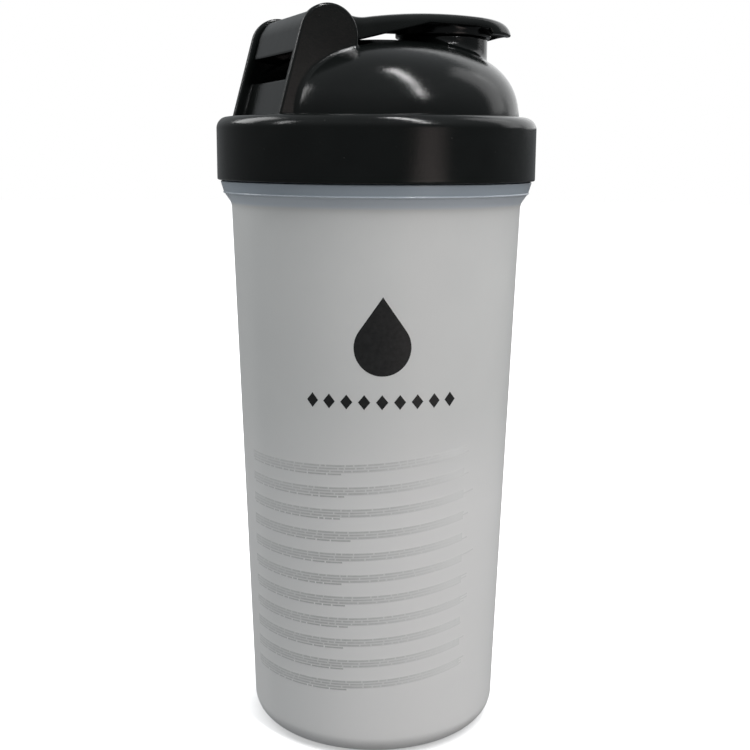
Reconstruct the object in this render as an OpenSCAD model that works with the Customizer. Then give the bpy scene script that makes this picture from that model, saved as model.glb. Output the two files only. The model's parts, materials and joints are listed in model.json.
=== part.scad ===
// Protein shaker bottle: a tapered cup, a screw lid with a domed top and spout,
// a flip cap that pivots between two cheeks, and a mixing grid plugged into the lid.
// Millimetres. +Z is up, +X points to the spout, and the origin is the centre of the base.

/* [Cup] */
// Outer radius of the cup wall, where it meets the base corner
cup_base_r = 38; // [34:0.5:39]
// Outer radius of the cup wall just under the collar
cup_top_r = 43.4; // [42:0.1:44]
// Height of the tapered wall
cup_wall_top = 162; // [140:1:162]
// Thickness of the cup wall
cup_wall = 1.6; // [1.2:0.1:2]
// Radius of the rounded corner around the base
base_corner_r = 6.5; // [4:0.5:8]
// Thickness of the cup floor
floor_t = 2.2; // [1.6:0.1:3]
// Outer radius of the collar under the lid
collar_r = 46.6; // [45.6:0.1:47]
// Outer radius of the threaded neck
neck_r = 43.2; // [43:0.1:43.3]

/* [Thread] */
// Rise of the thread in one whole turn
thread_lead = 10; // [9:0.5:11]
// Height of one thread lug
lug_h = 1.8; // [1.6:0.1:2]
// Number of lugs along each thread start
lugs = 9; // [6:1:9]

/* [Lid] */
// Outer radius of the lid skirt
skirt_r = 47.5; // [47:0.1:48]
// Lower edge of the lid skirt
skirt_z = 168.4; // [168.4:0.1:169]
// Height of the flat shoulder that the dome stands on
shoulder_z = 186.7; // [186.6:0.1:187.5]
// Radius of the rounded upper edge of the skirt
skirt_round = 3.5; // [2:0.1:3.5]
// Wall thickness of the dome, the spout and the pocket
lid_wall = 1.8; // [1.6:0.1:2]
// Distance of the spout from the bottle's axis
spout_x = 21.6; // [21:0.1:22]
// Outer radius of the spout
spout_r = 13.4; // [13:0.1:13.6]
// Height of the spout's rim
spout_rim_z = 210.3; // [210:0.1:210.5]

/* [Hinge] */
// Hinge axis, distance behind the bottle's axis
hinge_x = -23.5; // [-24:0.1:-23]
// Height of the hinge axis
hinge_z = 207.7; // [207.5:0.1:208]
// Radius of the rounded top of each cheek
cheek_r = 8.4; // [8:0.1:8.6]
// Half of the space between the two cheeks
cheek_gap = 20.7; // [20.7:0.1:21]
// Thickness of each cheek
cheek_t = 2.4; // [2.4:0.1:2.6]
// Lean of the cheeks' rear edges, in degrees
cheek_lean = 15.6; // [15:0.1:16]
// Radius of the hinge pins
pin_r = 2.5; // [2:0.1:3]

/* [Flip cap] */
// Half of the cap's width at the hinge
cap_half_w = 20.2; // [19.8:0.1:20.2]
// Radius of the cap's rounded front
cap_front_r = 15.5; // [15:0.1:16]
// Wall thickness of the flip cap
cap_wall = 1.8; // [1.6:0.1:2]
// Radius of the long arch along the top of the arm
arch_r = 178; // [170:1:190]

/* [Mixing grid] */
// Number of bars each way
grid_bars = 9; // [7:2:11]
// Width of one bar
grid_bar_w = 1.6; // [1.2:0.1:2]

/* [Hidden] */
$fn = 96;

e = 0.01;                                 // small overshoot of the cutting solids
fit_gap = 0.05;                           // radial clearance of the hinge pins
loose_gap = 0.3;                          // clearance between parts that only pass each other

// Cup heights
neck_rim_z = 183;
collar_z = 168.1;                         // upper face of the collar
collar_band = 3.3;                        // height of the collar's outer band
collar_cone = 3.2;                        // height of the cone under that band
cone_z = collar_z - collar_band - collar_cone;
foot_r = 30;                              // outer radius of the hollow under the base
foot_hollow = 1.2;                        // depth of that hollow
neck_wall = 1.8;
neck_in_r = neck_r - neck_wall;

// The thread is interrupted: each start is a row of short lugs that climb along the helix
lug_pitch_deg = 24;
lug_deg = 20;
thread_starts = 2;
thread_turn = 7;                          // angle at which the first lug begins
thread_z = 173;                           // underside of the lowest lug on the cup
thread_pitch = thread_lead / thread_starts;
cup_lug_r = neck_r + 1.4;
skirt_in_r = skirt_r - lid_wall;
lid_lug_r = neck_r + 0.6;

// Dome: a superellipse turned about an axis just in front of the bottle's own
dome_x = 1;
dome_z = 184.2;
dome_r = 41.4;
dome_h = 24.4;
dome_power = 2.6;
dome_steps = 24;
plug_z = 179.2;                           // lower end of the plug wall inside the neck
plug_r = neck_in_r - loose_gap;
plate_z = shoulder_z - 2;                 // underside of the shoulder plate

// Pocket behind the hinge, in which the cap's heel swings
pocket_r = 14;
pocket_floor_z = shoulder_z;
recess = 3;                               // depth of the rear panel behind the cheek edges
lean = tan(cheek_lean);
tangent_x = hinge_x - cheek_r * cos(cheek_lean);
tangent_z = hinge_z + cheek_r * sin(cheek_lean);

// Flip cap
heel_r = cheek_r - 1.2;
heel_z = 203.4;                           // lower edge of the heel
arch_x = 18;                              // highest point of the arm
arch_z = 215.8;
front_x = 27.4;                           // centre of the rounded front
tip_x = front_x + cap_front_r;
side_wall_drop = 8;                       // the cap's hollow runs out this far below its side walls
// Lower edge of the cap's side walls, from under the hinge to the finger tab
cap_lower_edge = [[hinge_x, 202.5], [hinge_x + cheek_r, 206.6], [3, 211.2], [9, 212.8], [24, 212.8],
                  [29.5, 212.2], [30.5, 210.9], [tip_x - 2.5, 210.9], [tip_x, 212]];
closure_r = 14.4;
closure_h = 4;
bore_r = spout_r - lid_wall;
stopper_r = bore_r - 0.2;
stopper_depth = 3.6;                      // how far the stopper reaches into the spout
stopper_wall = 1.6;
pin_end = cheek_gap + 1.5;                // outer end of the hinge pins
boss_t = 3;                               // thickness of the bosses behind the pins
pin_root = 1;                             // length of the pins inside the cap's side walls

// Printed marks stand slightly proud of the cup wall
ink_t = 0.12;
front_azimuth = -110;                     // direction that the printed front faces
drop_r = 8;
drop_z = 124;                             // centre of the drop's round part
drop_tip_z = 138;
diamonds = 9;
diamond_z = 108.6;
diamond_half_w = 1.7;
diamond_half_h = 2.1;
diamond_pitch = 5;
care_bands = 11;
care_lines = 3;                           // lines in each band
care_z = 22;                              // height of the lowest line
care_band_pitch = 6.6;
care_line_pitch = 0.9;
care_line_h = 0.45;
care_turn = -68;                          // left end of the lines, from the printed front
care_sweep = 104;                         // length of a full line, in degrees
care_last_sweep = 46;                     // length of the last line of a band
scale_marks = 6;
scale_step_ml = 100;
scale_line_h = 0.8;

function wall_r(z) = cup_base_r + (cup_top_r - cup_base_r) * z / cup_wall_top;

// Height to which a volume in millilitres fills the tapered cup
function fill_z(ml) =
    let (r0 = cup_base_r - cup_wall,
         slope = (cup_top_r - cup_base_r) / cup_wall_top,
         floor_r = r0 + slope * (floor_t + foot_hollow))
    (pow(3 * slope * ml * 1000 / PI + pow(floor_r, 3), 1 / 3) - r0) / slope;

function arc(cx, cy, r, a0, a1, n) =
    [for (i = [0 : n]) [cx + r * cos(a0 + (a1 - a0) * i / n), cy + r * sin(a0 + (a1 - a0) * i / n)]];

function cheek_rear_x(z) = tangent_x - (tangent_z - z) * lean;

function arch_height(x) = arch_z - arch_r + sqrt(arch_r * arch_r - (x - arch_x) * (x - arch_x));

// ---------------------------------------------------------------- shared shapes

// One thread start: lugs between two radii, the first at angle a0 and height z0
module lug_row(r_in, r_out, a0, z0) {
    for (i = [0 : lugs - 1])
        translate([0, 0, z0 + thread_lead * i * lug_pitch_deg / 360])
            rotate([0, 0, a0 + i * lug_pitch_deg])
                rotate_extrude(angle = lug_deg)
                    translate([r_in, 0])
                        square([r_out - r_in, lug_h]);
}

// Solid dome, shrunk on all sides by inset and cut off at height z_low
module dome_solid(inset, z_low) {
    r = dome_r - inset;
    h = dome_h - inset;
    a0 = asin(pow(max(z_low - dome_z, 0) / h, dome_power / 2));
    curve = [for (i = [0 : dome_steps])
        let (a = a0 + (90 - a0) * i / dome_steps)
        [r * pow(max(cos(a), 0), 2 / dome_power), dome_z + h * pow(sin(a), 2 / dome_power)]];
    translate([dome_x, 0, 0])
        rotate_extrude()
            polygon(concat([[0, z_low]], z_low < dome_z ? [[r, z_low]] : [], curve));
}

// Space behind and below the hinge that the heel of the flip cap needs, grown by g
module pocket(g) {
    w = cheek_gap + g;
    translate([hinge_x, 0, hinge_z])
        rotate([90, 0, 0])
            cylinder(h = 2 * w, r = pocket_r + g, center = true);
    low = pocket_floor_z - g;
    high = tangent_z + 20;
    translate([0, w, 0])
        rotate([90, 0, 0])
            linear_extrude(2 * w)
                polygon([[cheek_rear_x(low) + recess + g, low],
                         [cheek_rear_x(high) + recess + g, high],
                         [-skirt_r - 5, high],
                         [-skirt_r - 5, low]]);
}

module cheek_outline() {
    translate([hinge_x, hinge_z])
        circle(cheek_r);
    polygon([[tangent_x, tangent_z],
             [cheek_rear_x(plate_z), plate_z],
             [hinge_x + cheek_r, plate_z],
             [hinge_x + cheek_r, hinge_z],
             [hinge_x, hinge_z]]);
}

// ---------------------------------------------------------------- the cup

module cup() {
    color("gainsboro") {
        difference() {
            union() {
                rotate_extrude()
                    polygon(concat(
                        [[0, foot_hollow], [foot_r - 1, foot_hollow], [foot_r, 0]],
                        arc(wall_r(base_corner_r) - base_corner_r, base_corner_r, base_corner_r, -90, 0, 10),
                        [[wall_r(cone_z), cone_z],
                         [collar_r - 1, collar_z - collar_band],
                         [collar_r, collar_z],
                         [neck_r, collar_z],
                         [neck_r, neck_rim_z],
                         [0, neck_rim_z]]));
                for (s = [0 : thread_starts - 1])
                    lug_row(neck_r - 0.7, cup_lug_r, thread_turn + s * 360 / thread_starts, thread_z);
            }
            rotate_extrude()
                polygon(concat(
                    [[0, floor_t + foot_hollow]],
                    arc(wall_r(base_corner_r) - base_corner_r, base_corner_r + floor_t,
                        base_corner_r - cup_wall, -90, 0, 8),
                    [[cup_top_r - cup_wall, cup_wall_top],
                     [neck_in_r, cup_wall_top + 4],
                     [neck_in_r, neck_rim_z + 1],
                     [0, neck_rim_z + 1]]));
        }
    }
}

// ---------------------------------------------------------------- the lid

module skirt() {
    plate_in_r = plug_r - 2 * lid_wall;
    rotate_extrude()
        difference() {
            union() {
                translate([skirt_r - skirt_round, shoulder_z - skirt_round])
                    circle(skirt_round);
                translate([plate_in_r, skirt_z])
                    square([skirt_r - plate_in_r, shoulder_z - skirt_round - skirt_z]);
                translate([plate_in_r, skirt_z])
                    square([skirt_r - skirt_round - plate_in_r, shoulder_z - skirt_z]);
            }
            translate([0, skirt_z - 1])
                square([skirt_in_r, plate_z - skirt_z + 1]);
        }
}

module lid_outside() {
    skirt();
    dome_solid(0, plate_z);
    for (side = [-1, 1])
        translate([0, side * (cheek_gap + cheek_t / 2) + cheek_t / 2, 0])
            rotate([90, 0, 0])
                linear_extrude(cheek_t)
                    cheek_outline();
    translate([spout_x, 0, shoulder_z])
        cylinder(h = spout_rim_z - shoulder_z, r = spout_r);
}

module lid() {
    color("#1b1d1c") {
        difference() {
            lid_outside();
            pocket(0);
            difference() {
                dome_solid(lid_wall, plate_z - 1);
                pocket(lid_wall);
            }
            translate([spout_x, 0, shoulder_z + 4])
                cylinder(h = spout_rim_z - shoulder_z, r = bore_r);
            for (side = [-1, 1])
                translate([hinge_x, side * (cheek_gap + pin_end + fit_gap) / 2, hinge_z])
                    rotate([90, 0, 0])
                        cylinder(h = pin_end - cheek_gap + fit_gap + e, r = pin_r + fit_gap, center = true);
        }
        // plug wall inside the neck, which also holds the mixing grid
        rotate_extrude()
            translate([plug_r - lid_wall, plug_z])
                square([lid_wall, plate_z - plug_z + e]);
        for (s = [0 : thread_starts - 1])
            lug_row(lid_lug_r, skirt_in_r + 0.7, thread_turn + s * 360 / thread_starts,
                    thread_z - thread_pitch / 2);
    }
}

// ---------------------------------------------------------------- the flip cap

// Side outline of the cap: heel, crest over the hinge, arched arm and finger tab, inset by g
module cap_side(g) {
    r = heel_r - g;
    low = g > 0 ? side_wall_drop : 0;
    tangent = [hinge_x - r * cos(cheek_lean), hinge_z + r * sin(cheek_lean)];
    crest_x = hinge_x + heel_r - 1.2;
    polygon(concat(
        [[tangent[0] - (tangent[1] - heel_z + low) * lean, heel_z - low],
         [hinge_x - heel_r + g, heel_z - low]],
        [for (p = cap_lower_edge) [p[0], p[1] - low]],
        [for (i = [0 : 16])
            let (x = tip_x - (tip_x - crest_x) * i / 16)
            [x, arch_height(x) - g]],
        arc(hinge_x, hinge_z, r, 40, 180 - cheek_lean, 12)));
}

// Plan outline of the cap, inset by g
module cap_plan(g) {
    r = cap_front_r - g;
    root_x = hinge_x + cheek_r;
    dx = front_x - root_x;
    dy = cap_half_w - g;
    lean_in = asin(r / sqrt(dx * dx + dy * dy)) - atan2(dy, dx);
    touch = [front_x - r * sin(lean_in), r * cos(lean_in)];
    translate([front_x, 0])
        circle(r);
    polygon([[-skirt_r, -dy], [root_x, -dy], [touch[0], -touch[1]], [front_x, 0],
             [touch[0], touch[1]], [root_x, dy], [-skirt_r, dy]]);
}

module cap_body(side_inset, plan_inset) {
    intersection() {
        translate([0, cap_half_w + 1, 0])
            rotate([90, 0, 0])
                linear_extrude(2 * cap_half_w + 2)
                    cap_side(side_inset);
        translate([0, 0, heel_z - 20])
            linear_extrude(60)
                cap_plan(plan_inset);
    }
}

module flip_cap() {
    color("#1b1d1c") {
        difference() {
            cap_body(0, 0);
            cap_body(cap_wall, cap_wall);
        }
        // ring that closes on the spout's rim and holds the stopper
        difference() {
            translate([spout_x, 0, spout_rim_z + fit_gap])
                cylinder(h = closure_h, r = closure_r);
            translate([spout_x, 0, spout_rim_z - 1])
                cylinder(h = 3, r = stopper_r);
        }
        // hinge bosses and pins
        for (side = [-1, 1]) {
            translate([hinge_x, side * (cap_half_w - boss_t / 2), hinge_z])
                rotate([90, 0, 0])
                    cylinder(h = boss_t, r = pin_r + 2, center = true);
            translate([hinge_x, side * (cap_half_w - pin_root + pin_end) / 2, hinge_z])
                rotate([90, 0, 0])
                    cylinder(h = pin_end - cap_half_w + pin_root, r = pin_r, center = true);
        }
    }
}

// Soft plug: a shallow cup pressed into the closure ring, with its lip in the spout
module spout_stopper() {
    color("#2a2c2b")
        translate([spout_x, 0, spout_rim_z])
            difference() {
                translate([0, 0, -stopper_depth])
                    cylinder(h = stopper_depth + 2, r = stopper_r);
                translate([0, 0, -stopper_depth - e])
                    cylinder(h = stopper_depth + 0.6, r = stopper_r - stopper_wall);
            }
}

// ---------------------------------------------------------------- inside the lid

// Soft ring between the cup's rim and the shoulder plate
module lid_seal_ring() {
    color("silver")
        rotate_extrude()
            translate([plug_r + 0.1, neck_rim_z + fit_gap])
                square([neck_r - plug_r + 0.5, plate_z - neck_rim_z - 2 * fit_gap]);
}

// Round grid that breaks up the powder; its rim plugs into the lid's plug wall
module mixing_grid() {
    rim_r = plug_r - lid_wall;
    rim_w = 1.4;
    rim_h = 8;
    bar_h = 1.6;
    rim_z = 176.1;
    pitch = 2 * rim_r / (grid_bars + 1);
    color("whitesmoke")
        translate([0, 0, rim_z]) {
            difference() {
                cylinder(h = rim_h, r = rim_r);
                translate([0, 0, -e])
                    cylinder(h = rim_h + 2 * e, r = rim_r - rim_w);
            }
            intersection() {
                cylinder(h = bar_h, r = rim_r - rim_w / 2);
                for (turn = [0, 90])
                    rotate([0, 0, turn])
                        for (i = [1 : grid_bars])
                            translate([-rim_r, -rim_r + i * pitch - grid_bar_w / 2, 0])
                                cube([2 * rim_r, grid_bar_w, bar_h]);
            }
        }
}

// ---------------------------------------------------------------- printed marks

// Thin skin around the cup's wall between two heights, over part of a turn
module wall_skin(z0, z1, sweep = 360) {
    rotate_extrude(angle = sweep)
        polygon([[wall_r(z0), z0], [wall_r(z0) + ink_t, z0],
                 [wall_r(z1) + ink_t, z1], [wall_r(z1), z1]]);
}

// Cuts the skin to a flat outline (x to the right, y up) seen from the printed front
module printed(z0, z1) {
    intersection() {
        wall_skin(z0, z1);
        rotate([0, 0, front_azimuth])
            rotate([90, 0, 90])
                linear_extrude(collar_r + 10)
                    children();
    }
}

module drop_emblem_print() {
    tip = drop_tip_z - drop_z;
    touch = acos(drop_r / tip);
    color("black")
        printed(drop_z - 2 * drop_r, drop_tip_z + drop_r)
            translate([0, drop_z]) {
                circle(drop_r);
                polygon([[0, tip],
                         [-drop_r * sin(touch), drop_r * cos(touch)],
                         [0, -1],
                         [drop_r * sin(touch), drop_r * cos(touch)]]);
            }
}

module diamond_row_print() {
    color("black")
        printed(diamond_z - 2 * diamond_half_h, diamond_z + 2 * diamond_half_h)
            for (i = [0 : diamonds - 1])
                translate([(i - (diamonds - 1) / 2) * diamond_pitch, diamond_z])
                    polygon([[-diamond_half_w, 0], [0, -diamond_half_h],
                             [diamond_half_w, 0], [0, diamond_half_h]]);
}

module care_print() {
    color("darkgray")
        for (band = [0 : care_bands - 1])
            for (row = [0 : care_lines - 1]) {
                z = care_z + band * care_band_pitch + row * care_line_pitch;
                rotate([0, 0, front_azimuth + care_turn])
                    wall_skin(z, z + care_line_h, row == 0 ? care_last_sweep : care_sweep);
            }
}

module volume_scale_print() {
    color("dimgray")
        for (i = [0 : scale_marks - 1]) {
            z = fill_z((i + 1) * scale_step_ml);
            rotate([0, 0, front_azimuth + 180])
                wall_skin(z, z + scale_line_h, i % 2 == 0 ? 14 : 22);
        }
}

cup();
lid();
flip_cap();
spout_stopper();
lid_seal_ring();
mixing_grid();
drop_emblem_print();
diamond_row_print();
care_print();
volume_scale_print();
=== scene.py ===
"""Protein shaker bottle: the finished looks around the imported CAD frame.

The black mouldings are carved from distance fields, so that every edge has a moulded radius.
Shapes are worked out in millimetres and turned into metres when a mesh is made.
"""
import json
import math

import bmesh
import bpy
import numpy as np
from mathutils import Matrix, Vector


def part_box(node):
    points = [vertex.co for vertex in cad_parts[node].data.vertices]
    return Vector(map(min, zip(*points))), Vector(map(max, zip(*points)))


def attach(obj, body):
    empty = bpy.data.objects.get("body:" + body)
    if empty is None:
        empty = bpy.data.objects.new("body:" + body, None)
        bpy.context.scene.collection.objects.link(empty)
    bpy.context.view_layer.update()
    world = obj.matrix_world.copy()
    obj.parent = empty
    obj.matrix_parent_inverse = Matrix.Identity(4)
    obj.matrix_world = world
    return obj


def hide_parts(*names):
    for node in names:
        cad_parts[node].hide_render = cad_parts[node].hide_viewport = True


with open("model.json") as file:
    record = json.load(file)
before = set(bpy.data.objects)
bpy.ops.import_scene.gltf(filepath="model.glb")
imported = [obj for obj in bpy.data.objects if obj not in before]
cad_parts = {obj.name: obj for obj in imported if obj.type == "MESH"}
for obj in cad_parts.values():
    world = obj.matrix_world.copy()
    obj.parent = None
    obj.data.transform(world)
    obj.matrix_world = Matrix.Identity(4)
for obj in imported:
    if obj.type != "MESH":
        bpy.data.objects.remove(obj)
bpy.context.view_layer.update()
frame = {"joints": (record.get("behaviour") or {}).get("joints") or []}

MM = 0.001


# ------------------------------------------------------------------ sizes from the frame

def node_box(name):
    """Lowest and highest corner of a CAD node, in millimetres."""
    low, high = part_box(name)
    return np.array(low) / MM, np.array(high) / MM


def joint(name):
    return next(j for j in frame["joints"] if j["name"] == name)


_, CUP_HIGH = node_box("cup")
LID_LOW, LID_HIGH = node_box("lid")
CAP_LOW, CAP_HIGH = node_box("flip_cap")
PLUG_LOW, PLUG_HIGH = node_box("spout_stopper")
SEAL_LOW, SEAL_HIGH = node_box("lid_seal_ring")
GRID_LOW, GRID_HIGH = node_box("mixing_grid")
DROP_LOW, DROP_HIGH = node_box("drop_emblem_print")
ROW_LOW, ROW_HIGH = node_box("diamond_row_print")
CARE_LOW, _ = node_box("care_print")

HINGE_X, _, HINGE_Z = np.array(joint("flip_hinge")["pos_m"]) / MM

# Cup
CUP_BASE_R = 38.0
CUP_TOP_R = 43.4
CUP_WALL_TOP = 162.0
CUP_WALL = 1.6
BASE_ROUND = 6.5
FLOOR_TOP = 3.4
FOOT_R = 30.0
FOOT_HOLLOW = 1.2
COLLAR_R = 46.6
COLLAR_Z = 168.1
COLLAR_BAND = 3.3
COLLAR_CONE = 3.2
CREASE_Z = COLLAR_Z - COLLAR_BAND
CONE_Z = CREASE_Z - COLLAR_CONE
NECK_R = 43.2
NECK_IN_R = 41.4
RIM_Z = float(CUP_HIGH[2])

# Thread lugs, shared by cup and lid
LEAD = 10.0
LUG_PITCH = 24.0
LUG_DEG = 20.0
LUGS = 9
LUG_H = 1.8
LUG_START = 7.0
CUP_LUG_Z = 173.0
CUP_LUG_R = NECK_R + 1.4
LID_LUG_Z = CUP_LUG_Z - LEAD / 4
LUG_EDGE = 0.7
LID_LUG_R = NECK_R + 0.6

# Lid
SKIRT_R = float(LID_HIGH[0])
SKIRT_Z = float(LID_LOW[2])
SKIRT_ROUND = 3.5
SHOULDER_Z = 186.7
PLATE_Z = SHOULDER_Z - 2
WALL = 1.8
SKIRT_IN_R = SKIRT_R - WALL
PLUG_R = NECK_IN_R - 0.3
PLUG_Z = 179.2
DOME_X, DOME_Z, DOME_R, DOME_H, DOME_POWER = 1.0, 184.2, 41.4, 24.4, 2.6
SPOUT_X = float(PLUG_LOW[0] + PLUG_HIGH[0]) / 2
SPOUT_R = 13.4
SPOUT_RIM_Z = 210.3
BORE_R = SPOUT_R - WALL
CHEEK_R = float(LID_HIGH[2]) - HINGE_Z
CHEEK_GAP = 20.7
CHEEK_T = 2.4
LEAN = math.radians(15.6)
POCKET_R = 14.0
FOOT_GROOVE = 0.5
RECESS = 3.0
PIN_R = 2.5
PIN_END = float(CAP_HIGH[1])
PIN_PLAY = 0.1

# Flip cap
HEEL_R = CHEEK_R - 1.2
HEEL_Z = 203.4
CAP_HALF_W = 20.2
CAP_FRONT_R = 15.5
CAP_FRONT_X = 27.4
TIP_X = CAP_FRONT_X + CAP_FRONT_R
ARCH_X, ARCH_Z, ARCH_R = 18.0, 215.8, 178.0
CLOSURE_R = 14.4
CLOSURE_H = 4.0
CLOSURE_GAP = 0.05                   # between the closed ring and the spout's rim
SEAT_DEPTH = 2.0
BOSS_T = 3.0
PIN_ROOT = 2.0

# The printed front faces this way, in degrees about the bottle's axis
FRONT_AZIMUTH = -110.0


def wall_radius(z):
    """Outer radius of the cup's tapered wall."""
    return CUP_BASE_R + (CUP_TOP_R - CUP_BASE_R) * z / CUP_WALL_TOP


# ------------------------------------------------------------------ distance fields

def smin(a, b, k):
    """Union of two fields with a fillet of about k."""
    h = np.maximum(k - np.abs(a - b), 0.0) / k
    return np.minimum(a, b) - h * h * k * 0.25


def smax(a, b, k):
    """Intersection of two fields with a rounded edge of about k."""
    return -smin(-a, -b, k)


def slab(v, low, high):
    """Distance to the space between two parallel planes."""
    return np.abs(v - (low + high) / 2) - (high - low) / 2


def rounded_rect(u, v, u0, u1, v0, v1, r):
    """Distance to a rectangle with rounded corners."""
    qu = slab(u, u0 + r, u1 - r)
    qv = slab(v, v0 + r, v1 - r)
    outside = np.hypot(np.maximum(qu, 0), np.maximum(qv, 0))
    return outside + np.minimum(np.maximum(qu, qv), 0) - r


def lean_plate(x, z, r):
    """Side outline of a cheek or heel: a round top over the hinge with straight edges below it."""
    dx = x - HINGE_X
    dz = z - HINGE_Z
    along_rear = dx * math.sin(LEAN) + dz * math.cos(LEAN)
    front = dx - r
    rear = -dx * math.cos(LEAN) + dz * math.sin(LEAN) - r
    round_top = np.hypot(dx, dz) - r
    straight = np.where(along_rear > 0, front, np.where(dz > 0, rear, np.maximum(front, rear)))
    return np.where((dz > 0) & (along_rear > 0), round_top, straight)


def rear_panel(x, z, inset):
    """Positive in front of the plane that lies behind the cheeks' rear edges by inset."""
    return CHEEK_R - inset - (-(x - HINGE_X) * math.cos(LEAN) + (z - HINGE_Z) * math.sin(LEAN))


def dome(x, y, z):
    """Distance to the superellipse dome, to first order."""
    rho = np.hypot(x - DOME_X, y)
    u = np.maximum(rho / DOME_R, 1e-4)
    v = np.maximum((z - DOME_Z) / DOME_H, 1e-4)
    n = DOME_POWER
    f = (u ** n + v ** n) ** (1 / n)
    slope = np.hypot((u / f) ** (n - 1) / DOME_R, (v / f) ** (n - 1) / DOME_H)
    return (f - 1) / slope


def pocket(x, y, z, grow):
    """Space behind and below the hinge for the heel of the flip cap, grown on all sides."""
    barrel = np.hypot(x - HINGE_X, z - HINGE_Z) - POCKET_R - grow
    behind = np.maximum(rear_panel(x, z, RECESS + grow), SHOULDER_Z - grow - z)
    return smax(smin(barrel, behind, 0.6), np.abs(y) - CHEEK_GAP - grow, 0.5)


def lugs(x, y, z, r_low, r_high, z0):
    """The interrupted thread: two rows of short lugs that climb along the helix."""
    rho = np.hypot(x, y)
    turn = np.degrees(np.arctan2(y, x))
    best = np.full_like(rho, 1e3)
    for start in range(2):
        t = np.mod(turn - LUG_START - 180 * start, 360)
        index = np.floor(t / LUG_PITCH)
        part = t - index * LUG_PITCH
        height = z0 + LUG_H / 2 + LEAD * (index * LUG_PITCH + part - LUG_DEG / 2) / 360
        across = np.radians(np.abs(part - LUG_DEG / 2) - LUG_DEG / 2) * r_high
        d = smax(np.abs(z - height) - LUG_H / 2, slab(rho, r_low, r_high), LUG_EDGE)
        d = smax(d, across, LUG_EDGE)
        best = np.minimum(best, np.where(index < LUGS, d, 1e3))
    return best


def lid_field(x, y, z):
    rho = np.hypot(x, y)
    skirt = rounded_rect(rho, z, -SKIRT_R, SKIRT_R, SKIRT_Z, SHOULDER_Z, SKIRT_ROUND)
    lower_edge = rounded_rect(rho, z, -SKIRT_R, SKIRT_R, SKIRT_Z, SHOULDER_Z, 0.5)
    skirt = np.where(z < (SKIRT_Z + SHOULDER_Z) / 2, lower_edge, skirt)
    shell = dome(x, y, z)
    above_shoulder = PLATE_Z - z
    cheek = smax(lean_plate(x, z, CHEEK_R), slab(np.abs(y), CHEEK_GAP, CHEEK_GAP + CHEEK_T), 0.7)
    groove_foot = np.maximum(np.minimum(shell, cheek) - FOOT_GROOVE, SHOULDER_Z - FOOT_GROOVE - z)
    skirt = np.maximum(skirt, -groove_foot)
    # A fine groove at the foot of dome and cheeks keeps that crease dark, as in the moulding
    body = smin(np.maximum(shell, above_shoulder), np.maximum(cheek, above_shoulder), 0.8)
    body = np.minimum(body, skirt)
    spout_rho = np.hypot(x - SPOUT_X, y)
    spout = rounded_rect(spout_rho, z, -SPOUT_R, SPOUT_R, SHOULDER_Z, SPOUT_RIM_Z, 0.5)
    body = smin(body, spout, 2.2)
    body = smax(body, -pocket(x, y, z, 0.0), 0.6)
    core = np.minimum(np.maximum(shell + WALL, above_shoulder - 1),
                      np.maximum(rho - PLUG_R + WALL, z - PLATE_Z))
    core = smax(core, -pocket(x, y, z, WALL), 0.8)
    groove = rounded_rect(rho, z, PLUG_R, SKIRT_IN_R, SKIRT_Z - 20, PLATE_Z, 0.6)
    mouth = rounded_rect(rho, z, -SKIRT_IN_R, SKIRT_IN_R, SKIRT_Z - 20, PLUG_Z, 0.3)
    bore = np.maximum(spout_rho - BORE_R, SHOULDER_Z + 4 - z)
    for hollow in (core, groove, mouth, bore):
        body = smax(body, -hollow, 0.4)
    from_hinge = np.hypot(x - HINGE_X, z - HINGE_Z)
    socket = np.maximum(from_hinge - PIN_R - PIN_PLAY, np.abs(y) - PIN_END - PIN_PLAY)
    body = np.maximum(body, -socket)
    return smin(body, lugs(x, y, z, LID_LUG_R, SKIRT_IN_R + 0.5, LID_LUG_Z), 0.5)


# Lower edge of the cap's side walls as (x, z), from the heel to the finger tab
CAP_LOWER_EDGE = [(-60.0, HEEL_Z), (HINGE_X - HEEL_R, HEEL_Z), (HINGE_X, 202.5),
                  (HINGE_X + CHEEK_R, 206.6), (3.0, 211.2), (9.0, 212.8), (24.0, 212.8),
                  (29.5, 212.2), (30.5, 210.9),
                  (TIP_X - 2.5, 210.9), (TIP_X, 212.0)]


def cap_side(x, z, inset):
    """Side outline of the cap without its lower edge."""
    arch = np.hypot(x - ARCH_X, z - (ARCH_Z - ARCH_R)) - ARCH_R + inset
    heel = lean_plate(x, z, HEEL_R - inset)
    arm = np.maximum(arch, HINGE_X - x)
    return smin(heel, arm, 7.0)


def below_cap(x, z):
    """Positive below the lower edge of the cap's side walls."""
    edge = np.array(CAP_LOWER_EDGE)
    return np.interp(x, edge[:, 0], edge[:, 1]) - z


def cap_plan(x, y, inset):
    """Plan outline: parallel at the hinge, tapering to a round front."""
    r = CAP_FRONT_R - inset
    half = CAP_HALF_W - inset
    root_x = HINGE_X + CHEEK_R
    dx = CAP_FRONT_X - root_x
    reach = math.hypot(dx, half)
    tilt = math.asin(r / reach) - math.atan2(half, dx)
    ay = np.abs(y)
    along = (x - CAP_FRONT_X) * math.cos(tilt) + ay * math.sin(tilt)
    side = -(x - CAP_FRONT_X) * math.sin(tilt) + ay * math.cos(tilt) - r
    round_front = np.hypot(x - CAP_FRONT_X, y) - r
    taper = np.where(along > 0, round_front, side)
    return np.maximum(taper, ay - half)


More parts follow.
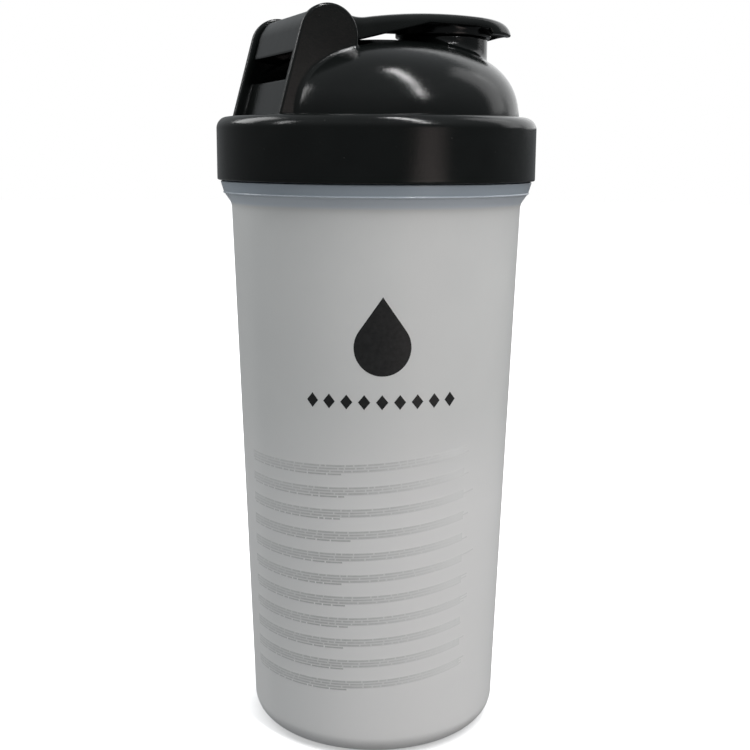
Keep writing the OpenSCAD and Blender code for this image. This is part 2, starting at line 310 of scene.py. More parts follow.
def cap_field(x, y, z):
    edge_round = np.interp(x, [CAP_FRONT_X, TIP_X], [2.4, 5.0])
    outside = smax(cap_side(x, z, 0.0), cap_plan(x, y, 0.0), edge_round)
    inside = smax(cap_side(x, z, WALL), cap_plan(x, y, WALL), 1.6)
    body = smax(outside, -inside, 0.5)
    body = smax(body, below_cap(x, z), 0.7)
    spout_rho = np.hypot(x - SPOUT_X, y)
    closure = rounded_rect(spout_rho, z, -CLOSURE_R, CLOSURE_R,
                           SPOUT_RIM_Z + CLOSURE_GAP, SPOUT_RIM_Z + CLOSURE_H, 0.4)
    body = smin(body, closure, 0.8)
    seat = np.maximum(spout_rho - (BORE_R - 0.2), z - SPOUT_RIM_Z - SEAT_DEPTH)
    body = smax(body, -seat, 0.3)
    from_hinge = np.hypot(x - HINGE_X, z - HINGE_Z)
    boss = smax(from_hinge - PIN_R - 2, slab(np.abs(y), CAP_HALF_W - BOSS_T, CAP_HALF_W), 0.5)
    pin = smax(from_hinge - PIN_R, slab(np.abs(y), CAP_HALF_W - PIN_ROOT, PIN_END), 0.6)
    return np.minimum(smin(body, boss, 1.0), pin)


def grid_field(x, y, z):
    """Mixing grid: a rim with crossed bars, all edges rounded."""
    rho = np.hypot(x, y)
    low, high = float(GRID_LOW[2]), float(GRID_HIGH[2])
    rim_r = float(GRID_HIGH[0])
    rim = rounded_rect(rho, z, rim_r - 1.4, rim_r, low, high, 0.5)
    bars = 9
    spacing = 2 * rim_r / (bars + 1)
    across = [np.abs(np.mod(v + spacing / 2, spacing) - spacing / 2) - 0.8 for v in (x, y)]
    web = smin(across[0], across[1], 0.8)
    web = smax(web, slab(z, low, low + 1.6), 0.6)
    web = np.maximum(web, rho - rim_r + 0.7)
    return smin(rim, web, 0.8)


# ------------------------------------------------------------------ meshes

def mesh_from_arrays(name, verts_mm, quads):
    me = bpy.data.meshes.new(name)
    me.vertices.add(len(verts_mm))
    me.vertices.foreach_set("co", (verts_mm * MM).astype(np.float32).ravel())
    me.loops.add(quads.size)
    me.loops.foreach_set("vertex_index", quads.astype(np.int32).ravel())
    me.polygons.add(len(quads))
    me.polygons.foreach_set("loop_start", np.arange(0, quads.size, quads.shape[1], dtype=np.int32))
    me.polygons.foreach_set("use_smooth", np.ones(len(quads), bool))
    me.update(calc_edges=True)
    me.validate()
    return me


def add_object(name, mesh):
    obj = bpy.data.objects.new(name, mesh)
    bpy.context.scene.collection.objects.link(obj)
    return obj


def carve(name, field, low, high, cell):
    """Surface-net mesh of a distance field's zero level inside a box, pulled onto the exact surface."""
    axes = [np.arange(low[i] - 2 * cell, high[i] + 3 * cell, cell, dtype=np.float32) for i in range(3)]
    gx, gy = np.meshgrid(axes[0], axes[1], indexing="ij")
    d = np.stack([field(gx, gy, np.float32(z) + np.zeros_like(gx)) for z in axes[2]], axis=2)
    inside = d < 0
    shape = np.array(d.shape) - 1
    corner_sum = np.zeros(shape, np.int8)
    corners = [(i, j, k) for i in (0, 1) for j in (0, 1) for k in (0, 1)]
    for i, j, k in corners:
        corner_sum += inside[i:i + shape[0], j:j + shape[1], k:k + shape[2]]
    active = (corner_sum > 0) & (corner_sum < 8)
    cells = np.argwhere(active)
    index = np.full(shape, -1, np.int64)
    index[active] = np.arange(len(cells))
    total = np.zeros((len(cells), 3))
    count = np.zeros(len(cells))
    for a in corners:
        for axis in range(3):
            if a[axis]:
                continue
            b = list(a)
            b[axis] = 1
            da = d[tuple((cells + a).T)]
            db = d[tuple((cells + b).T)]
            cross = (da < 0) != (db < 0)
            t = np.where(cross, da / np.where(da == db, 1, da - db), 0)
            point = np.repeat(np.array(a, float)[None], len(cells), 0)
            point[:, axis] += t
            total[cross] += point[cross]
            count[cross] += 1
    verts = cells + total / count[:, None]
    verts = np.array([ax[0] for ax in axes]) + verts * cell
    quads = []
    for axis in range(3):
        step = [0, 0, 0]
        step[axis] = 1
        lo = inside[:d.shape[0] - step[0], :d.shape[1] - step[1], :d.shape[2] - step[2]]
        hi = inside[step[0]:, step[1]:, step[2]:]
        edge = np.argwhere(lo != hi)
        u, v = [n for n in range(3) if n != axis]
        ok = (edge[:, u] > 0) & (edge[:, v] > 0) & (edge[:, u] < shape[u]) & (edge[:, v] < shape[v])
        edge = edge[ok]
        ring = []
        for du, dv in ((0, 0), (1, 0), (1, 1), (0, 1)):
            c = edge.copy()
            c[:, u] -= du
            c[:, v] -= dv
            ring.append(index[tuple(c.T)])
        q = np.stack(ring, 1)
        outward = lo[tuple(edge.T)] ^ (axis == 1)
        q[~outward] = q[~outward][:, ::-1]
        quads.append(q)
    quads = np.concatenate(quads)
    verts = settle(field, verts, cell)
    return mesh_from_arrays(name, verts, quads)


def settle(field, verts, cell):
    """Moves each vertex along the field's slope onto the zero level."""
    home = verts.copy()
    h = 0.02
    for _ in range(3):
        x, y, z = verts.T
        d = field(x, y, z)
        slope = np.stack([field(x + h, y, z) - d, field(x, y + h, z) - d, field(x, y, z + h) - d], 1) / h
        size = np.maximum((slope ** 2).sum(1), 0.25)
        verts = verts - (d / size)[:, None] * slope
        verts = home + np.clip(verts - home, -0.6 * cell, 0.6 * cell)
    return verts


def arc(cx, cz, r, a0, a1, n):
    """Points on an arc, angles in degrees."""
    return [(cx + r * math.cos(math.radians(a)), cz + r * math.sin(math.radians(a)))
            for a in np.linspace(a0, a1, n)]


def line(p, q, step):
    """Points from p to just short of q, about step apart."""
    n = max(1, round(math.dist(p, q) / step))
    return [(p[0] + (q[0] - p[0]) * i / n, p[1] + (q[1] - p[1]) * i / n) for i in range(n)]


def rounded(points, radii, n=5):
    """A polyline with its inner corners rounded."""
    out = [points[0]]
    for (p, q, s), r in zip(zip(points, points[1:], points[2:]), radii):
        p, q, s = np.array(p), np.array(q), np.array(s)
        a = (p - q) / np.linalg.norm(p - q)
        b = (s - q) / np.linalg.norm(s - q)
        reach = min(r, 0.49 * np.linalg.norm(p - q), 0.49 * np.linalg.norm(s - q))
        for t in np.linspace(0, 1, n):
            start, end = q + a * reach, q + b * reach
            out.append(tuple((1 - t) ** 2 * start + 2 * t * (1 - t) * q + t ** 2 * end))
    out.append(points[-1])
    return out


def lathe(name, profile, segments=192, bump=None):
    """Turns an (r, z) profile that begins and ends on the axis about +Z."""
    ring = np.array(profile[1:-1])
    turn = 2 * np.pi * np.arange(segments) / segments
    r = np.repeat(ring[:, :1], segments, 1)
    z = np.repeat(ring[:, 1:], segments, 1)
    if bump is not None:
        r = r + bump(turn[None], r, z)
    verts = np.stack([r * np.cos(turn), r * np.sin(turn), z], 2).reshape(-1, 3)
    bm = bmesh.new()
    vs = [bm.verts.new(v * MM) for v in verts]
    rows = len(ring)
    for i in range(rows - 1):
        for j in range(segments):
            k = (j + 1) % segments
            bm.faces.new((vs[i * segments + j], vs[i * segments + k],
                          vs[(i + 1) * segments + k], vs[(i + 1) * segments + j]))
    for row, pole in ((0, profile[0]), (rows - 1, profile[-1])):
        tip = bm.verts.new((0, 0, pole[1] * MM))
        for j in range(segments):
            bm.faces.new((vs[row * segments + j], vs[row * segments + (j + 1) % segments], tip))
    bmesh.ops.recalc_face_normals(bm, faces=bm.faces)
    for f in bm.faces:
        f.smooth = True
    me = bpy.data.meshes.new(name)
    bm.to_mesh(me)
    bm.free()
    return me


# ------------------------------------------------------------------ materials

FADED = (0.85, 0.85, 0.835)            # ink that has all but gone, close to the milky wall


def remap(tree, value, low, high, from_low, from_high):
    """Remaps a socket's value and clamps it."""
    n = tree.nodes.new("ShaderNodeMapRange")
    n.inputs["From Min"].default_value = from_low
    n.inputs["From Max"].default_value = from_high
    n.inputs["To Min"].default_value = low
    n.inputs["To Max"].default_value = high
    tree.links.new(value, n.inputs["Value"])
    return n.outputs["Result"]


class Shader:
    """A Principled material with helpers for procedural detail in object space."""

    def __init__(self, name, **inputs):
        self.mat = bpy.data.materials.new(name)
        self.mat.use_nodes = True
        self.tree = self.mat.node_tree
        self.bsdf = next(n for n in self.tree.nodes if n.type == "BSDF_PRINCIPLED")
        self.where = self.tree.nodes.new("ShaderNodeTexCoord")
        for key, value in inputs.items():
            self.bsdf.inputs[key.replace("_", " ")].default_value = value

    def noise(self, size_mm, detail=2.0, rough=0.5, stretch=(1, 1, 1)):
        """Noise with features of about size_mm."""
        mapping = self.tree.nodes.new("ShaderNodeMapping")
        mapping.inputs["Scale"].default_value = stretch
        self.tree.links.new(self.where.outputs["Object"], mapping.inputs["Vector"])
        n = self.tree.nodes.new("ShaderNodeTexNoise")
        n.inputs["Scale"].default_value = 1 / (size_mm * MM)
        n.inputs["Detail"].default_value = detail
        n.inputs["Roughness"].default_value = rough
        self.tree.links.new(mapping.outputs["Vector"], n.inputs["Vector"])
        return n.outputs["Fac"]

    def spread(self, value, low, high, from_low=0.3, from_high=0.7):
        """Remaps a value and clamps it; the default source range suits noise."""
        return remap(self.tree, value, low, high, from_low, from_high)

    def mix(self, factor, a, b):
        """Colour between a and b; each may be a colour or a socket."""
        n = self.tree.nodes.new("ShaderNodeMix")
        n.data_type = "RGBA"
        for key, value in (("A", a), ("B", b)):
            socket = next(s for s in n.inputs if s.name == key and s.type == "RGBA")
            if isinstance(value, bpy.types.NodeSocket):
                self.tree.links.new(value, socket)
            else:
                socket.default_value = (*value, 1)
        self.tree.links.new(factor, n.inputs["Factor"])
        return next(s for s in n.outputs if s.type == "RGBA")

    def place(self):
        """Object coordinates, split into X, Y and Z."""
        split = self.tree.nodes.new("ShaderNodeSeparateXYZ")
        self.tree.links.new(self.where.outputs["Object"], split.inputs[0])
        return split.outputs

    def math(self, operation, a, b):
        n = self.tree.nodes.new("ShaderNodeMath")
        n.operation = operation
        for i, value in enumerate((a, b)):
            if isinstance(value, bpy.types.NodeSocket):
                self.tree.links.new(value, n.inputs[i])
            else:
                n.inputs[i].default_value = value
        return n.outputs[0]

    def bump(self, *layers):
        """Stacks (height socket, strength, depth in mm) layers into the normal."""
        last = None
        for height, strength, depth in layers:
            n = self.tree.nodes.new("ShaderNodeBump")
            n.inputs["Strength"].default_value = strength
            n.inputs["Distance"].default_value = depth * MM
            self.tree.links.new(height, n.inputs["Height"])
            if last is not None:
                self.tree.links.new(last, n.inputs["Normal"])
            last = n.outputs["Normal"]
        self.tree.links.new(last, self.bsdf.inputs["Normal"])

    def to(self, socket, name):
        self.tree.links.new(socket, self.bsdf.inputs[name])


def black_plastic():
    """Black polypropylene: a gloss broken by fine grain, faint flow marks, dust specks and scuffs."""
    s = Shader("black_plastic", IOR=1.49, Specular_IOR_Level=0.32)
    grain = s.noise(0.38, 2, 0.55)
    cloud = s.noise(14, 3, 0.55)
    flow = s.noise(7, 2, 0.5, stretch=(1, 1, 0.35))
    scuff = s.noise(3.2, 5, 0.7, stretch=(1, 1, 3))
    speck = s.spread(s.noise(0.75, 1, 0.4), 0, 1, 0.80, 0.84)
    tone = s.mix(s.spread(cloud, 0, 1), (0.0042, 0.0052, 0.0049), (0.0066, 0.0080, 0.0075))
    s.to(s.mix(s.math("MULTIPLY", speck, 0.4), tone, (0.12, 0.12, 0.115)), "Base Color")
    s.to(s.math("ADD", s.spread(scuff, 0.0, 0.06), s.spread(cloud, 0.09, 0.14)), "Roughness")
    s.bump((flow, 0.10, 0.6), (grain, 0.50, 0.05))
    return s.mat


def frosted_plastic():
    """Natural polypropylene: milky, whiter low down, bluer and glossier at the thick collar."""
    s = Shader("frosted_plastic", IOR=1.49, Transmission_Weight=0.10)
    haze = s.noise(26, 3, 0.5)
    ripple = s.noise(9, 2, 0.5, stretch=(1, 1, 0.25))
    grain = s.noise(0.5, 2, 0.5)
    scratch = s.noise(2.4, 5, 0.75, stretch=(1, 1, 5))
    height = s.place()["Z"]
    cone = s.spread(height, 0, 1, (CONE_Z - 0.3) * MM, (CONE_Z + 0.6) * MM)
    clear = s.spread(height, 0, 1, (CREASE_Z - 0.3) * MM, (CREASE_Z + 0.2) * MM)
    milk = s.mix(s.spread(haze, 0, 1), (0.84, 0.843, 0.828), (0.875, 0.878, 0.86))
    milk = s.mix(s.spread(height, 1, 0, 75 * MM, 105 * MM), milk, (0.985, 0.98, 0.965))
    s.to(s.mix(clear, s.mix(cone, milk, (0.83, 0.89, 0.95)), (0.46, 0.52, 0.58)), "Base Color")
    satin = s.math("ADD", s.spread(grain, 0.34, 0.42), s.spread(scratch, 0.0, 0.08))
    s.to(s.math("SUBTRACT", satin, s.math("MULTIPLY", clear, 0.22)), "Roughness")
    s.bump((ripple, 0.06, 0.8), (grain, 0.12, 0.05))
    return s.mat


def rubber(name, dark, light):
    s = Shader(name, Specular_IOR_Level=0.35)
    cloud = s.noise(5, 3, 0.5)
    grain = s.noise(0.4, 2, 0.5)
    s.to(s.mix(s.spread(cloud, 0, 1), dark, light), "Base Color")
    s.to(s.spread(grain, 0.55, 0.72), "Roughness")
    s.bump((grain, 0.25, 0.05))
    return s.mat


def grid_plastic():
    s = Shader("grid_plastic", IOR=1.49, Specular_IOR_Level=0.45)
    cloud = s.noise(8, 3, 0.5)
    grain = s.noise(0.5, 2, 0.5)
    s.to(s.mix(s.spread(cloud, 0, 1), (0.66, 0.67, 0.67), (0.74, 0.75, 0.75)), "Base Color")
    s.to(s.spread(grain, 0.36, 0.48), "Roughness")
    s.bump((grain, 0.15, 0.05))
    return s.mat


def ink(name, dark, light, rough, fade=0.0):
    """Screen-printed ink with slightly uneven coverage; fade makes both ends of the print paler."""
    s = Shader(name, Specular_IOR_Level=0.4)
    cover = s.noise(1.1, 4, 0.65)
    tone = s.mix(s.spread(cover, 0, 1), dark, light)
    if fade:
        across = s.place()["X"]
        right = s.spread(across, 0, fade, -22 * MM, 8 * MM)
        left = s.spread(across, 0.6, 0, -41 * MM, -28 * MM)
        tone = s.mix(s.math("MAXIMUM", left, right), tone, FADED)
    s.to(tone, "Base Color")
    s.to(s.spread(cover, rough - 0.05, rough + 0.08), "Roughness")
    s.bump((cover, 0.10, 0.03))
    return s.mat


# ------------------------------------------------------------------ the pieces

def dress(obj, material, body, slot, *nodes):
    obj.data.materials.clear()
    obj.data.materials.append(material)
    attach(obj, body)
    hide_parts(*nodes)
    return obj


def neck_bump(turn, r, z):
    """Height of the thread lugs on the neck's outer face."""
    t_all = np.degrees(np.arctan2(np.sin(turn), np.cos(turn))) + 0 * z
    out = np.zeros_like(z + t_all)
    on_face = (np.abs(r - NECK_R) < 0.02) & (z > COLLAR_Z + 0.5) & (z < RIM_Z - 0.6)
    for start in range(2):
        t = np.mod(t_all - LUG_START - 180 * start, 360)
        index = np.floor(t / LUG_PITCH)
        part = t - index * LUG_PITCH
        middle = CUP_LUG_Z + LUG_H / 2 + LEAD * (index * LUG_PITCH + part - LUG_DEG / 2) / 360
        side = (LUG_H / 2 - np.abs(z - middle)) / 0.55
        ends = (LUG_DEG / 2 - np.abs(part - LUG_DEG / 2)) / 1.2
        height = np.clip(np.minimum(side, ends), 0, 1)
        height = height * height * (3 - 2 * height)
        out = np.maximum(out, np.where(index < LUGS, height, 0))
    return out * on_face * (CUP_LUG_R - NECK_R)


def make_cup(material):
    outer_corner = wall_radius(BASE_ROUND) - BASE_ROUND
    outside = rounded([
        (outer_corner + BASE_ROUND, BASE_ROUND),
        (wall_radius(CONE_Z), CONE_Z),
        (COLLAR_R - 1.27, CREASE_Z - 0.40),
        (COLLAR_R - 0.78, CREASE_Z - 0.15),
        (COLLAR_R - 0.78, CREASE_Z + 0.10),
        (COLLAR_R - 0.92, CREASE_Z + 0.25),
        (COLLAR_R, COLLAR_Z),
        (NECK_R, COLLAR_Z)], [1.4, 0.1, 0.1, 0.1, 0.1, 0.4])
    neck = line((NECK_R, COLLAR_Z + 0.3), (NECK_R, RIM_Z - 0.6), 0.22)
    rim = arc(NECK_R - 0.6, RIM_Z - 0.6, 0.6, 0, 90, 5) + arc(NECK_IN_R + 0.6, RIM_Z - 0.6, 0.6, 90, 180, 5)
    inside = rounded([
        (NECK_IN_R, RIM_Z - 1),
        (NECK_IN_R, CUP_WALL_TOP + 4),
        (CUP_TOP_R - CUP_WALL, CUP_WALL_TOP),
        (outer_corner + BASE_ROUND - CUP_WALL, BASE_ROUND + FLOOR_TOP)], [2, 2])
    profile = [(0, FOOT_HOLLOW)]
    profile += [(1.6, FOOT_HOLLOW - 0.35), (2.1, FOOT_HOLLOW - 0.3), (2.4, FOOT_HOLLOW)]
    profile += line((3, FOOT_HOLLOW), (FOOT_R - 2.4, FOOT_HOLLOW), 3)
    profile += arc(FOOT_R - 1.2, FOOT_HOLLOW / 2, FOOT_HOLLOW / 2, 90, 20, 4)
    profile += arc(FOOT_R, 0.5, 0.5, 200, 270, 4)
    profile += arc(outer_corner, BASE_ROUND, BASE_ROUND, -90, 0, 14)[:-1]
    wall_top = outside[1]
    profile += line(outside[0], wall_top, 3) + outside[1:] + neck + rim
    profile += line(inside[0], inside[1], 3) + inside[1:-1] + line(inside[-2], inside[-1], 3)[1:]
    inner_round = BASE_ROUND - CUP_WALL
    profile += arc(outer_corner, FLOOR_TOP + inner_round, inner_round, 0, -90, 10)
    profile += line((outer_corner - 2, FLOOR_TOP), (4, FLOOR_TOP), 3)
    profile += [(0, FLOOR_TOP)]
    obj = add_object("cup_frosted", lathe("cup_frosted", profile, 360, neck_bump))
    return dress(obj, material, "cup", "frosted_plastic", "cup")


def make_lid(material):
    cell = 0.4
    obj = add_object("lid_moulding", carve("lid_moulding", lid_field, LID_LOW, LID_HIGH, cell))
    return dress(obj, material, "lid", "black_plastic", "lid")


def make_flip_cap(material):
    cell = 0.3
    obj = add_object("flip_cap_moulding", carve("flip_cap_moulding", cap_field, CAP_LOW, CAP_HIGH, cell))
    return dress(obj, material, "flip_cap", "black_plastic", "flip_cap")


def make_grid(material):
    cell = 0.4
    me = carve("mixing_grid_moulding", grid_field, GRID_LOW, GRID_HIGH, cell)
    return dress(add_object("mixing_grid_moulding", me), material, "lid", "grid_plastic", "mixing_grid")


def make_stopper(material):
    r = float(PLUG_HIGH[0] - PLUG_LOW[0]) / 2
    low, high = float(PLUG_LOW[2]), float(PLUG_HIGH[2])
    lip = [(r - 1.6, low + 0.4)] + arc(r - 0.8, low + 0.55, 0.55, 180, 360, 7)
    profile = [(0, low + 4.2), (3, low + 4.2), (r - 2.4, low + 4.1), (r - 1.7, low + 3.4)]
    profile += lip
    profile += [(r - 0.25, low + 1.4), (r, low + 2.0), (r, low + 2.6)]
    profile += [(r - 0.15, low + 3.4), (r, SPOUT_RIM_Z)]
    profile += arc(r - 0.3, high - 0.3, 0.3, 0, 90, 4)
    profile += [(0, high)]
    me = lathe("spout_stopper_soft", profile, 96)
    me.transform(Matrix.Translation((SPOUT_X * MM, 0, 0)))
    obj = add_object("spout_stopper_soft", me)
    return dress(obj, material, "flip_cap", "stopper_rubber", "spout_stopper")


def make_seal(material):
    outer = float(SEAL_HIGH[0])
    inner = PLUG_R + 0.1
    low, high = float(SEAL_LOW[2]), float(SEAL_HIGH[2])
    half = (high - low) / 2
    mid = (low + high) / 2
    loop = arc(outer - half, mid, half, -90, 90, 9) + arc(inner + half, mid, half, 90, 270, 9)
    bm = bmesh.new()
    segments = 192
    rings = [[bm.verts.new((r * MM * math.cos(a), r * MM * math.sin(a), z * MM)) for r, z in loop]
             for a in np.linspace(0, 2 * math.pi, segments, endpoint=False)]
    for i in range(segments):
        a, b = rings[i], rings[(i + 1) % segments]
        for j in range(len(loop)):
            k = (j + 1) % len(loop)
            bm.faces.new((a[j], b[j], b[k], a[k]))
    bmesh.ops.recalc_face_normals(bm, faces=bm.faces)
    for f in bm.faces:
        f.smooth = True
    me = bpy.data.meshes.new("lid_seal_soft")
    bm.to_mesh(me)
    bm.free()
    return dress(add_object("lid_seal_soft", me), material, "seal", "seal_rubber", "lid_seal_ring")


# Prints are thin closed skins wrapped onto the tapered wall

INK_LIFT = 0.012
INK_T = 0.02
POINT = 0.03                         # half width of a printed point


def on_wall(u, z, azimuth, lift):
    """Point on the cup's wall, u millimetres to the right of the given direction."""
    r = wall_radius(z)
    turn = math.radians(azimuth) + u / r
    return ((r + lift) * math.cos(turn) * MM, (r + lift) * math.sin(turn) * MM, z * MM)


def skin_strip(bm, rows, azimuth, columns=8, thick=INK_T, rise=lambda u: 0.0):
    """A closed skin between (z, left, right) rows, lifted along its length by rise(u)."""
    layers = []
    for lift in (INK_LIFT, INK_LIFT + thick):
        layer = []
        for z, left, right in rows:
            us = [left + (right - left) * c / columns for c in range(columns + 1)]
            layer.append([bm.verts.new(on_wall(u, z + rise(u), azimuth, lift)) for u in us])
        layers.append(layer)
    low, high = layers
    n = len(rows) - 1
    for i in range(n):
        for c in range(columns):
            bm.faces.new((high[i][c], high[i][c + 1], high[i + 1][c + 1], high[i + 1][c]))
            bm.faces.new((low[i][c], low[i + 1][c], low[i + 1][c + 1], low[i][c + 1]))
    for i in range(n):
        for c in (0, columns):
            bm.faces.new((low[i][c], high[i][c], high[i + 1][c], low[i + 1][c]))
    for i in (0, n):
        for c in range(columns):
            bm.faces.new((low[i][c], low[i][c + 1], high[i][c + 1], high[i][c]))


def finish_print(name, bm):
    bmesh.ops.remove_doubles(bm, verts=bm.verts, dist=1e-7)
    bmesh.ops.recalc_face_normals(bm, faces=bm.faces)
    me = bpy.data.meshes.new(name)
    bm.to_mesh(me)
    bm.free()
    return add_object(name, me)


def make_drop(material):
    """A plain drop: a round bottom, and straight sides up to the tip."""
    r = 8.0
    middle = float(DROP_LOW[2]) + r
    tip = float(DROP_HIGH[2])
    touch = math.acos(r / (tip - middle))
    touch_z = middle + r * math.cos(touch)
    touch_w = r * math.sin(touch)
    rows = []
    for a in np.linspace(-90, 90 - math.degrees(touch), 28):
        rows.append((middle + r * math.sin(math.radians(a)), r * math.cos(math.radians(a))))
    for t in np.linspace(0, 1, 14)[1:]:
        rows.append((touch_z + (tip - touch_z) * t, touch_w * (1 - t)))
    rows = [(z, -max(w, POINT), max(w, POINT)) for z, w in rows]
    bm = bmesh.new()
    skin_strip(bm, rows, FRONT_AZIMUTH, 16)
    return dress(finish_print("drop_emblem_ink", bm), material, "cup", "black_ink", "drop_emblem_print")


def make_diamonds(material):
    count, half_w, half_h, spacing = 9, 1.7, 2.1, 5.0
    middle = float(ROW_LOW[2] + ROW_HIGH[2]) / 2
    bm = bmesh.new()
    for i in range(count):
        u = (i - (count - 1) / 2) * spacing
        rows = []
        for t in np.linspace(-1, 1, 9):
            w = max(half_w * (1 - abs(t)), POINT)
            rows.append((middle + half_h * t, u - w, u + w))
        skin_strip(bm, rows, FRONT_AZIMUTH, 4)
    return dress(finish_print("diamond_row_ink", bm), material, "cup", "black_ink", "diamond_row_print")


def make_care_print(material, haze):
    """Bands of fine bars on a faint tint in place of small print, with no letters in them."""
    rng = np.random.default_rng(7)
    bands, rows = 11, 4
    pitch, row_pitch, height = 6.6, 0.82, 0.48
    left, full_right, last_right = -46.0, 26.0, -12.0
    gap = 0.45
    tilt, sag, sag_at = math.tan(math.radians(3.5)), 0.0011, -11

    def rise(u):
        return tilt * u + sag * (u - sag_at) ** 2

    bars, tints = bmesh.new(), bmesh.new()
    for band in range(bands):
        low = float(CARE_LOW[2]) + band * pitch
        high = low + (rows - 1) * row_pitch + height
        skin_strip(tints, [(low + 0.6, left, full_right), (high + 0.1, left, full_right)],
                   FRONT_AZIMUTH, 40, INK_T / 3, rise)
        for row in range(rows):
            z = low + row * row_pitch
            right = last_right if row == 0 else full_right - float(rng.uniform(0, 3))
            u = left + float(rng.uniform(0, 1.5))
            while u < right:
                length = float(rng.uniform(1.2, 6.0))
                skin_strip(bars, [(z, u, u + length), (z + height, u, u + length)],
                           FRONT_AZIMUTH, 4, INK_T, rise)
                u += length + gap
    dress(finish_print("care_tint_ink", tints), haze, "cup", "grey_ink", "care_print")
    return dress(finish_print("care_bars_ink", bars), material, "cup", "grey_ink", "care_print")


def fill_height(ml):
    """Height to which a volume in millilitres fills the tapered cup."""
    r0 = CUP_BASE_R - CUP_WALL
    slope = (CUP_TOP_R - CUP_BASE_R) / CUP_WALL_TOP
    floor_r = r0 + slope * FLOOR_TOP
    return ((3 * slope * ml * 1000 / math.pi + floor_r ** 3) ** (1 / 3) - r0) / slope


def add_numeral(bm, text, u, z, azimuth, size):
    """A plain number wrapped onto the wall, its lower left corner at (u, z)."""
    curve = bpy.data.curves.new("numeral", "FONT")
    curve.body = text
    curve.size = size
    curve.extrude = 0.5
    curve.resolution_u = 4
    obj = add_object("numeral", curve)
    me = obj.to_mesh()
    start = len(bm.verts)
    bm.from_mesh(me)
    bm.verts.ensure_lookup_table()
    for v in bm.verts[start:]:
        lift = INK_LIFT + INK_T * (v.co.z > 0)
        v.co = Vector(on_wall(u + v.co.x, z + v.co.y, azimuth, lift))
    obj.to_mesh_clear()
    bpy.data.objects.remove(obj)
    bpy.data.curves.remove(curve)


def make_scale(material):
    """Graduation marks for every 100 ml with plain numbers, on the back of the cup."""
    bm = bmesh.new()
    back = FRONT_AZIMUTH + 180
    height = 0.8
    for i in range(6):
        ml = 100 * (i + 1)
        z = fill_height(ml)
        length = wall_radius(z) * math.radians(22 if i % 2 else 14)
        skin_strip(bm, [(z, 0, length), (z + height, 0, length)], back, 12)
        if i % 2:
            add_numeral(bm, str(ml), length + 1.5, z - 1.2, back, 5.0)
    return dress(finish_print("volume_scale_ink", bm), material, "cup", "grey_ink", "volume_scale_print")


# ------------------------------------------------------------------ stage, light and camera

def make_stage():
    """A pale floor that is bright to the camera and adds little light of its own to the bottle; close round
    the bottle's foot its glow is turned down as a painted contact shadow.
    """
    me = bpy.data.meshes.new("floor")
    bm = bmesh.new()
    bmesh.ops.create_circle(bm, cap_ends=True, segments=96, radius=4.0)
    bm.to_mesh(me)
    bm.free()
    floor = add_object("floor", me)
    s = Shader("floor_paint", Roughness=0.9, Specular_IOR_Level=0.1)
    s.bsdf.inputs["Emission Color"].default_value = (1, 1, 1, 1)
    reach = s.tree.nodes.new("ShaderNodeVectorMath")
    reach.operation = "LENGTH"
    s.tree.links.new(s.where.outputs["Object"], reach.inputs[0])
    # Painted contact shadow: the floor's glow falls to 0.3 within 36 mm of the axis and is full again from
    # 52 mm.
    s.to(s.spread(reach.outputs["Value"], 0.30, 1.0, 0.036, 0.052), "Emission Strength")
    s.to(s.mix(s.spread(s.noise(900, 2, 0.5), 0, 1), (0.86, 0.86, 0.86), (0.90, 0.90, 0.90)), "Base Color")
    floor.data.materials.append(s.mat)
    floor.visible_glossy = False
    floor.visible_diffuse = False
    floor.visible_transmission = False


def area_light(name, place, target, size, power, colour=(1, 1, 1)):
    data = bpy.data.lights.new(name, "AREA")
    data.shape = "RECTANGLE"
    data.size, data.size_y = size
    data.energy = power
    data.color = colour
    obj = bpy.data.objects.new(name, data)
    bpy.context.scene.collection.objects.link(obj)
    obj.location = place
    obj.rotation_euler = (Vector(target) - Vector(place)).to_track_quat("-Z", "Y").to_euler()
    return obj


# A dim warm glow low in the room, seen in the skirt and the cheek
GLOW_AZIMUTH = math.radians(-75)
GLOW_CLIMB = math.radians(-11)


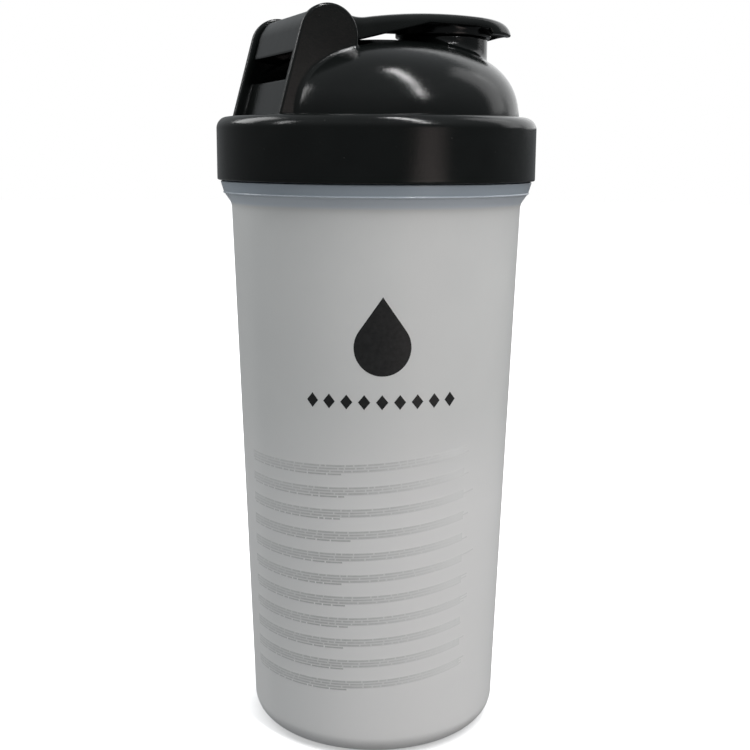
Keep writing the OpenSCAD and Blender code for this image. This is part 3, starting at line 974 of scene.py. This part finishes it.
def make_light():
    """A dim studio: a ceiling strip, small far and left lamps, and broad panels left and right."""
    world = bpy.data.worlds.new("studio")
    bpy.context.scene.world = world
    world.use_nodes = True
    tree = world.node_tree
    back = tree.nodes["Background"]
    back.inputs["Color"].default_value = (0.93, 0.97, 1.0, 1)
    where = tree.nodes.new("ShaderNodeTexCoord")
    split = tree.nodes.new("ShaderNodeSeparateXYZ")
    tree.links.new(where.outputs["Generated"], split.inputs[0])
    climb = remap(tree, split.outputs["Z"], 0.18, 0.46, 0.05, 0.6)
    tree.links.new(climb, back.inputs["Strength"])
    toward = tree.nodes.new("ShaderNodeVectorMath")
    toward.operation = "DOT_PRODUCT"
    toward.inputs[1].default_value = (math.cos(GLOW_AZIMUTH) * math.cos(GLOW_CLIMB),
                                      math.sin(GLOW_AZIMUTH) * math.cos(GLOW_CLIMB),
                                      math.sin(GLOW_CLIMB))
    tree.links.new(where.outputs["Generated"], toward.inputs[0])
    glow = tree.nodes.new("ShaderNodeBackground")
    glow.inputs["Color"].default_value = (1.0, 0.84, 0.80, 1)
    spot = remap(tree, toward.outputs["Value"], 0.0, 1.3, 0.955, 0.985)
    tree.links.new(spot, glow.inputs["Strength"])
    both = tree.nodes.new("ShaderNodeAddShader")
    tree.links.new(back.outputs[0], both.inputs[0])
    tree.links.new(glow.outputs[0], both.inputs[1])
    plain = tree.nodes.new("ShaderNodeBackground")
    plain.inputs["Color"].default_value = (1, 1, 1, 1)
    plain.inputs["Strength"].default_value = 1.0
    rays = tree.nodes.new("ShaderNodeLightPath")
    mix = tree.nodes.new("ShaderNodeMixShader")
    tree.links.new(rays.outputs["Is Camera Ray"], mix.inputs["Fac"])
    tree.links.new(both.outputs[0], mix.inputs[1])
    tree.links.new(plain.outputs[0], mix.inputs[2])
    tree.links.new(mix.outputs[0], tree.nodes["World Output"].inputs["Surface"])
    centre = (0, 0, 0.12)
    strip = area_light("ceiling_strip", (0.228, -1.07, 1.3), (0.228, -1.07, 0), (0.045, 1.8), 17)
    strip.rotation_euler = (0, 0, math.radians(12))
    area_light("far_lamp", (0.36, -1.40, 1.05), centre, (0.07, 0.40), 1.6)
    area_light("left_lamp", (-1.25, 0.09, 0.85), centre, (0.08, 0.50), 2.2)
    area_light("left_window", (-0.91, 1.01, 1.1), centre, (0.65, 0.9), 8)
    area_light("right_window", (1.35, 0.0, 0.95), centre, (0.6, 1.4), 3.6)
    area_light("right_wall", (1.1, 0.87, 0.8), centre, (1.4, 1.2), 5.0)


CAMERA_YAW = math.radians(22.8)      # the spout points right and away from the camera by this
CAMERA_PITCH = 0.189                 # downward, radians
CAMERA_ROLL = 0.006
CAMERA_DISTANCE = 0.3563
CAMERA_HEIGHT = 0.1766
FOCAL_IN_WIDTHS = 1164.7 / 750


def make_camera():
    data = bpy.data.cameras.new("camera")
    data.sensor_width = 36
    data.lens = 36 * FOCAL_IN_WIDTHS
    data.clip_start = 0.01
    obj = bpy.data.objects.new("camera", data)
    bpy.context.scene.collection.objects.link(obj)
    place = Vector((0, -CAMERA_DISTANCE, CAMERA_HEIGHT))
    turn = Matrix.Rotation(-CAMERA_YAW, 4, "Z")
    look = Matrix.Rotation(math.pi / 2 - CAMERA_PITCH, 4, "X") @ Matrix.Rotation(CAMERA_ROLL, 4, "Z")
    obj.matrix_world = turn @ Matrix.Translation(place) @ look
    bpy.context.scene.camera = obj
    bpy.context.scene.view_settings.view_transform = "Standard"


make_camera()
make_stage()
make_light()

BLACK = black_plastic()
BLACK_INK = ink("black_ink", (0.010, 0.010, 0.010), (0.022, 0.022, 0.022), 0.42)
GREY_INK = ink("grey_ink", (0.22, 0.23, 0.24), (0.30, 0.31, 0.32), 0.55)
CARE_INK = ink("care_ink", (0.56, 0.56, 0.55), (0.63, 0.63, 0.62), 0.45, fade=1.0)
CARE_TINT = ink("care_tint", (0.765, 0.765, 0.752), (0.79, 0.79, 0.777), 0.45, fade=1.0)
make_cup(frosted_plastic())
make_lid(BLACK)
make_flip_cap(BLACK)
make_grid(grid_plastic())
make_stopper(rubber("stopper_rubber", (0.020, 0.021, 0.021), (0.032, 0.033, 0.033)))
make_seal(rubber("seal_rubber", (0.50, 0.51, 0.52), (0.60, 0.61, 0.62)))
make_drop(BLACK_INK)
make_diamonds(BLACK_INK)
make_care_print(CARE_INK, CARE_TINT)
make_scale(GREY_INK)
